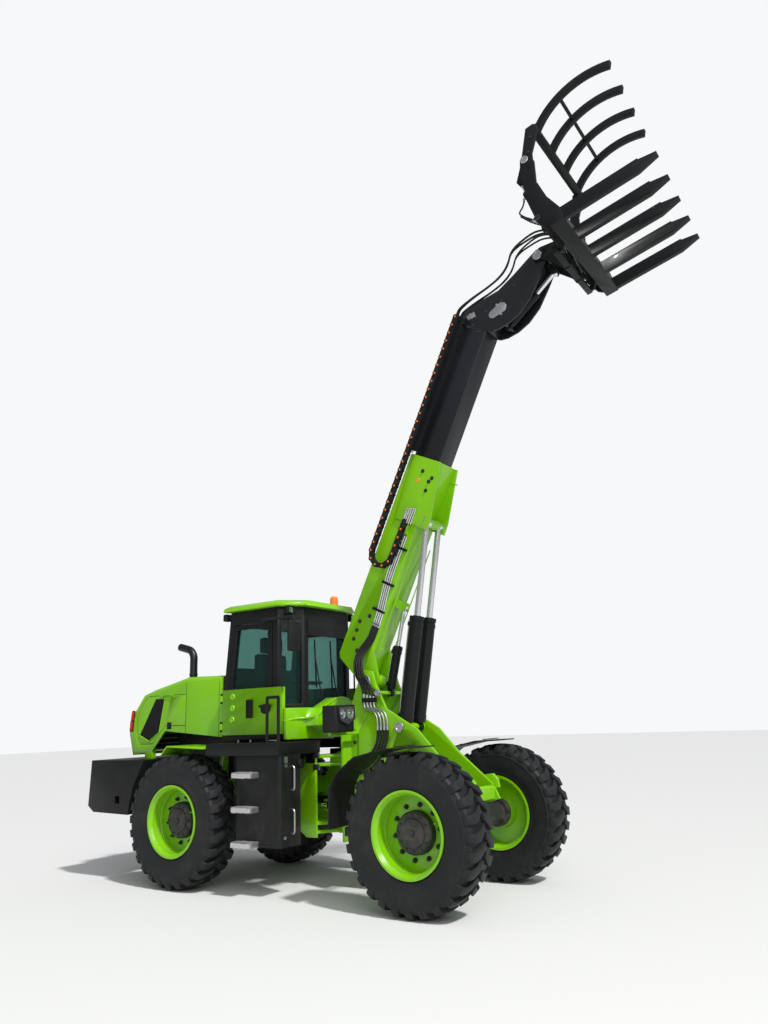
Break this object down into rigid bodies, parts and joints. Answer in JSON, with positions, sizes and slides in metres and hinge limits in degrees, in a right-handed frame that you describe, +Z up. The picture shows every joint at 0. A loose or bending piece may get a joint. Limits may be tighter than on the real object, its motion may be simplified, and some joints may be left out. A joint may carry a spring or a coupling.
{
  "type": "telescopic wheel loader",
  "caption": "Articulated wheel loader with a telescopic boom, raised, carrying a tined fork with a hydraulic top clamp.",
  "frame": {"origin": "middle of the footprint of the whole machine with its boom raised, on the ground", "axes": "+X towards the front wheels and the fork, +Y to the machine's left, +Z up"},
  "size_m": [7.199, 2.142, 7.7441],
  "materials": {
    "green_paint": "gloss",
    "black_paint": "satin",
    "rod_chrome": "polished",
    "engine_iron": "matte",
    "exhaust_steel": "satin",
    "black_plastic": "matte",
    "lamp_plastic": "gloss",
    "clear_glass": "gloss",
    "tyre_rubber": "matte"
  },
  "bodies": {
    "chassis": {"rear_frame": "green_paint", "rear_axle": "black_paint", "counterweight": "black_paint", "engine": "engine_iron", "hood": "green_paint", "exhaust": "exhaust_steel", "rear_fenders": "green_paint", "decks": "black_paint", "tanks": "black_paint", "cab_frame": "black_paint", "cab_roof": "green_paint", "cab_glass": "clear_glass", "apron": "green_paint", "seat": "black_plastic", "cab_controls": "black_plastic", "mirrors": "black_plastic", "lamps": "lamp_plastic", "steer_barrels": "black_paint"},
    "front_half": {"front_frame": "green_paint", "front_axle": "black_paint", "front_fenders": "black_plastic", "headlamps": "black_plastic"},
    "steer_rod_right": {"steer_rod_right": "rod_chrome"},
    "steer_rod_left": {"steer_rod_left": "rod_chrome"},
    "wheel_rear_right": {"tyre_rear_right": "tyre_rubber", "rim_rear_right": "green_paint"},
    "wheel_rear_left": {"tyre_rear_left": "tyre_rubber", "rim_rear_left": "green_paint"},
    "wheel_front_right": {"tyre_front_right": "tyre_rubber", "rim_front_right": "green_paint"},
    "wheel_front_left": {"tyre_front_left": "tyre_rubber", "rim_front_left": "green_paint"},
    "cab_door_right": {"door_right": "black_paint", "door_panel_right": "green_paint", "door_glass_right": "clear_glass"},
    "cab_door_left": {"door_left": "black_paint", "door_panel_left": "green_paint", "door_glass_left": "clear_glass"},
    "hood_flap_right": {"hood_door_right": "green_paint"},
    "hood_flap_left": {"hood_door_left": "green_paint"},
    "boom": {"boom_outer": "green_paint"},
    "lift_barrels": {"lift_barrels": "black_paint"},
    "lift_rods": {"lift_rods": "rod_chrome"},
    "levelling_barrel": {"levelling_barrel": "black_paint"},
    "levelling_rod": {"levelling_rod": "rod_chrome"},
    "inner_boom": {"boom_inner": "black_paint", "boom_head": "black_paint", "chain_tray": "black_paint", "energy_chain": "black_plastic", "tilt_barrel": "black_paint"},
    "tilt_rod": {"tilt_rod": "rod_chrome"},
    "tool": {"tool_carrier": "black_paint", "fork_frame": "black_paint", "clamp_barrels": "black_paint"},
    "clamp": {"clamp": "black_paint"},
    "clamp_rods": {"clamp_rods": "rod_chrome"}
  },
  "joints": [
    {"name": "articulation", "type": "hinge", "parent": "chassis", "child": "front_half", "pos_m": [-0.6045, 0, 0.9], "axis": [0, 0, 1], "range_deg": [-35, 35]},
    {"name": "steer_rod_right_slide", "type": "slide", "parent": "chassis", "child": "steer_rod_right", "axis": [1, 0, 0], "range_m": [-0.26, 0.26]},
    {"name": "steer_rod_left_slide", "type": "slide", "parent": "chassis", "child": "steer_rod_left", "axis": [1, 0, 0], "range_m": [-0.26, 0.26]},
    {"name": "wheel_rear_right_spin", "type": "hinge", "parent": "chassis", "child": "wheel_rear_right", "pos_m": [-2.0745, -0.865, 0.675], "axis": [0, 1, 0], "continuous": true},
    {"name": "wheel_rear_left_spin", "type": "hinge", "parent": "chassis", "child": "wheel_rear_left", "pos_m": [-2.0745, 0.865, 0.675], "axis": [0, 1, 0], "continuous": true},
    {"name": "wheel_front_right_spin", "type": "hinge", "parent": "front_half", "child": "wheel_front_right", "pos_m": [0.8655, -0.865, 0.675], "axis": [0, 1, 0], "continuous": true},
    {"name": "wheel_front_left_spin", "type": "hinge", "parent": "front_half", "child": "wheel_front_left", "pos_m": [0.8655, 0.865, 0.675], "axis": [0, 1, 0], "continuous": true},
    {"name": "door_right_hinge", "type": "hinge", "parent": "chassis", "child": "cab_door_right", "pos_m": [-1.7225, -0.682, 1.62], "axis": [0, 0, -1], "range_deg": [0, 80]},
    {"name": "door_left_hinge", "type": "hinge", "parent": "chassis", "child": "cab_door_left", "pos_m": [-1.7225, 0.682, 1.62], "axis": [0, 0, 1], "range_deg": [0, 80]},
    {"name": "hood_door_right_hinge", "type": "hinge", "parent": "chassis", "child": "hood_flap_right", "pos_m": [-2.7045, -0.61, 2.005], "axis": [-1, 0, 0], "range_deg": [0, 75]},
    {"name": "hood_door_left_hinge", "type": "hinge", "parent": "chassis", "child": "hood_flap_left", "pos_m": [-2.7045, 0.61, 2.005], "axis": [1, 0, 0], "range_deg": [0, 75]},
    {"name": "boom_lift", "type": "hinge", "parent": "front_half", "child": "boom", "pos_m": [-0.0745, 0, 2.03], "axis": [0, -1, 0], "range_deg": [-91.5, 2.5]},
    {"name": "lift_barrels_swing", "type": "hinge", "parent": "front_half", "child": "lift_barrels", "pos_m": [0.3155, 0, 1.56], "axis": [0, -1, 0], "range_deg": [-96.33, 3.6]},
    {"name": "lift_rods_slide", "type": "slide", "parent": "lift_barrels", "child": "lift_rods", "axis": [0.1737, 0, 0.9848], "range_m": [-0.8782, 0.0337]},
    {"name": "levelling_barrel_swing", "type": "hinge", "parent": "front_half", "child": "levelling_barrel", "pos_m": [0.0655, 0, 1.905], "axis": [0, -1, 0], "range_deg": [-99.6, 3.69]},
    {"name": "levelling_rod_slide", "type": "slide", "parent": "levelling_barrel", "child": "levelling_rod", "axis": [0.239, 0, 0.971], "range_m": [-0.2609, 0.0169]},
    {"name": "telescope", "type": "slide", "parent": "boom", "child": "inner_boom", "axis": [0.4462, 0, 0.8949], "range_m": [-1.4, 0], "deforming": ["energy_chain"]},
    {"name": "tool_tilt", "type": "hinge", "parent": "inner_boom", "child": "tool", "pos_m": [2.1837, 0, 6.223], "axis": [0, 1, 0], "range_deg": [-80, 50]},
    {"name": "tilt_rod_slide", "type": "slide", "parent": "inner_boom", "child": "tilt_rod", "axis": [0.7816, 0, 0.6237], "range_m": [-0.1453, 0.2265]},
    {"name": "clamp_swing", "type": "hinge", "parent": "tool", "child": "clamp", "pos_m": [2.3592, 0, 6.9187], "axis": [0, -1, 0], "range_deg": [-60, 5]},
    {"name": "clamp_rods_slide", "type": "slide", "parent": "tool", "child": "clamp_rods", "axis": [-0.2976, 0, 0.9547], "range_m": [-0.0248, 0.1878]}
  ],
  "couplings": [
    {"joint": "steer_rod_right_slide", "follows": "articulation", "m_per_rad": 0.19249},
    {"joint": "steer_rod_left_slide", "follows": "articulation", "m_per_rad": -0.19249},
    {"joint": "lift_barrels_swing", "follows": "boom_lift", "ratio": 1.0419},
    {"joint": "lift_rods_slide", "follows": "boom_lift", "m_per_rad": 0.54367},
    {"joint": "levelling_barrel_swing", "follows": "boom_lift", "ratio": 1.0776},
    {"joint": "levelling_rod_slide", "follows": "boom_lift", "m_per_rad": 0.15709},
    {"joint": "tilt_rod_slide", "follows": "tool_tilt", "m_per_rad": -0.15506},
    {"joint": "clamp_rods_slide", "follows": "clamp_swing", "m_per_rad": -0.16974}
  ]
}
